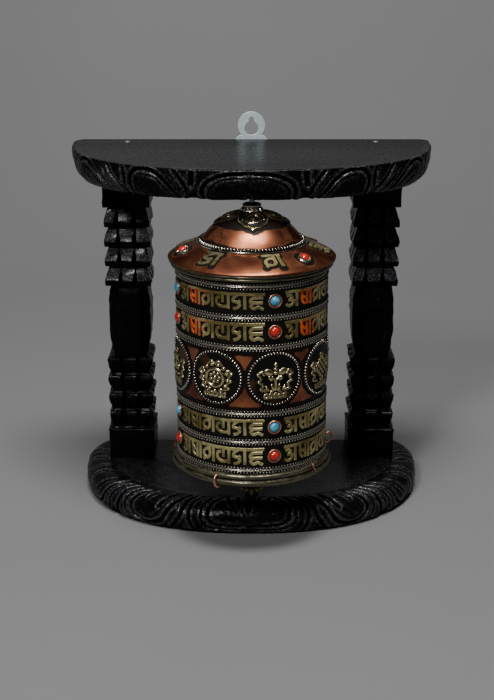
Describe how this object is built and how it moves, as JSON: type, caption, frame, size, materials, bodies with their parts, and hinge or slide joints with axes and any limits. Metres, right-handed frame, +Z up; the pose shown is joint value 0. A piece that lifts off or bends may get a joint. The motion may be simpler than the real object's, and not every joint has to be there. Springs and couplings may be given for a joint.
{
  "type": "prayer wheel",
  "caption": "Drum prayer wheel of embossed copper and brass turning on an upright spindle in a half-round carved black wooden frame, for a shelf or a wall.",
  "frame": {"origin": "on the spindle's axis, at the underside of the base board", "axes": "+Z up along the spindle, +Y towards the flat back of the frame, +X to the right of a person facing the front"},
  "size_m": [0.285, 0.1853, 0.3062],
  "materials": {
    "ebonised_wood": "satin black stain",
    "copper": "polished copper with dark patina",
    "brass": "antiqued brass relief on a blackened ground",
    "white_metal": "antiqued white metal wire",
    "steel": "bright drawn steel",
    "zinc_plate": "zinc plated",
    "coral": "polished red cabochon",
    "paper": "plain",
    "saffron_cloth": "woven"
  },
  "bodies": {
    "frame": {"base_board": "ebonised_wood", "left_post": "ebonised_wood", "right_post": "ebonised_wood", "top_board": "ebonised_wood", "base_screw_left": "steel", "base_screw_right": "steel", "top_nail_left": "steel", "top_nail_right": "steel", "hanger_plate": "zinc_plate", "hanger_screw_left": "zinc_plate", "hanger_screw_right": "zinc_plate", "pivot_cup": "brass"},
    "wheel": {"spindle": "steel", "lower_bead": "brass", "bottom_collar": "white_metal", "collar_bezel": "white_metal", "top_collar": "white_metal", "drum_shell": "copper", "drum_floor": "brass", "bottom_rim": "brass", "cap_lip": "brass", "cap_cone": "copper", "cap_dome": "copper", "dome_bead_ring": "white_metal", "crown_rosette": "brass", "medallion_band": "copper", "paper_scroll": "paper", "scroll_sleeve": "saffron_cloth", "wire_ring_a": "white_metal", "wire_ring_b": "white_metal", "wire_ring_c": "white_metal", "wire_ring_d": "white_metal", "wire_ring_e": "white_metal", "wire_ring_f": "white_metal", "embossed_band_1": "brass", "embossed_band_2": "brass", "embossed_band_3": "brass", "embossed_band_4": "brass", "medallion_1": "brass", "medallion_2": "brass", "medallion_3": "brass", "medallion_4": "brass", "medallion_5": "brass", "medallion_6": "brass", "medallion_7": "brass", "medallion_8": "brass", "cap_stone_1": "coral", "cap_stone_2": "coral", "cap_stone_3": "coral", "wire_tie_1": "copper", "wire_tie_2": "copper", "wire_tie_3": "copper", "wire_tie_4": "copper", "wire_tie_5": "copper"}
  },
  "joints": [
    {"name": "drum_spin", "type": "hinge", "parent": "frame", "child": "wheel", "pos_m": [0, 0, 0.0285], "axis": [0, 0, 1], "continuous": true}
  ]
}
